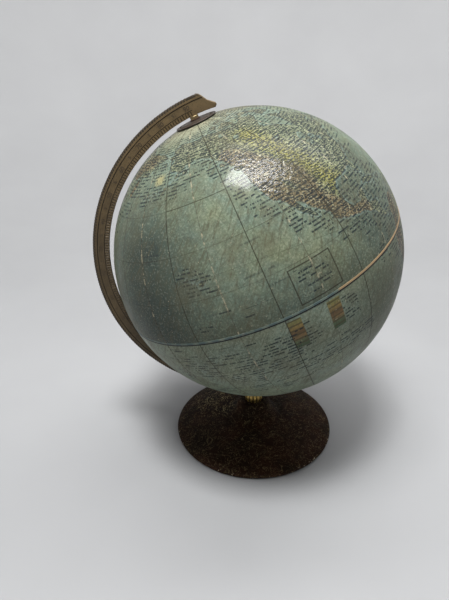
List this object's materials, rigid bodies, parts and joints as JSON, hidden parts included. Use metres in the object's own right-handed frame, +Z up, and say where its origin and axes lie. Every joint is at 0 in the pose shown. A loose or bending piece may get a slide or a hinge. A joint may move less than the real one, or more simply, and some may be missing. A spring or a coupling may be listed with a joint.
{
  "type": "desktop globe on stand",
  "caption": "Desk globe: a paper-covered ball turns on pins in a tilted half-meridian arm bolted to a round metal base with a fluted collar.",
  "frame": {"origin": "centre of the base underside, on the table", "axes": "+Z up; the arm lies in the XZ plane and the north pole leans 23.5 degrees toward -X"},
  "size_m": [0.3269, 0.3052, 0.3979],
  "materials": {
    "base_enamel": "dark brown crackle enamel, worn at the rim",
    "base_card": "matte",
    "felt": "felt",
    "steel": "zinc plated",
    "gilt_brass": "aged gilt",
    "arm_bronze": "antique bronze, satin",
    "nut_brass": "polished, dulled",
    "fibre": "red fibre",
    "eyelet_brass": "dulled",
    "dial_bronze": "dark bronze",
    "chipboard": "matte",
    "seam_tape": "varnished",
    "plug_wood": "raw",
    "map_paper": "aged varnished map paper"
  },
  "bodies": {
    "stand": {"base_shell": "base_enamel", "base_card": "base_card", "felt_pad": "felt", "hub_plate": "steel", "flat_washer": "steel", "lock_washer": "steel", "stem_bolt": "steel", "stem_collar": "gilt_brass", "meridian_arm": "arm_bronze", "north_pivot_pin": "steel", "south_pivot_pin": "steel", "north_nut": "nut_brass", "north_washer": "fibre", "south_spacer": "nut_brass", "south_washer": "fibre"},
    "ball": {"north_shell": "chipboard", "south_shell": "chipboard", "equator_hoop": "chipboard", "equator_tape": "seam_tape", "north_plug": "plug_wood", "south_plug": "plug_wood", "north_eyelet": "eyelet_brass", "south_eyelet": "eyelet_brass", "map_gore_01": "map_paper", "map_gore_02": "map_paper", "map_gore_03": "map_paper", "map_gore_04": "map_paper", "map_gore_05": "map_paper", "map_gore_06": "map_paper", "map_gore_07": "map_paper", "map_gore_08": "map_paper", "map_gore_09": "map_paper", "map_gore_10": "map_paper", "map_gore_11": "map_paper", "map_gore_12": "map_paper"},
    "dial": {"hour_dial": "dial_bronze"}
  },
  "joints": [
    {"name": "globe_spin", "type": "hinge", "parent": "stand", "child": "ball", "pos_m": [0, 0, 0.2325], "axis": [-0.3987, 0, 0.9171], "continuous": true},
    {"name": "hour_dial_turn", "type": "hinge", "parent": "ball", "child": "dial", "pos_m": [-0.06125, 0, 0.37336], "axis": [-0.3987, 0, 0.9171], "continuous": true}
  ]
}
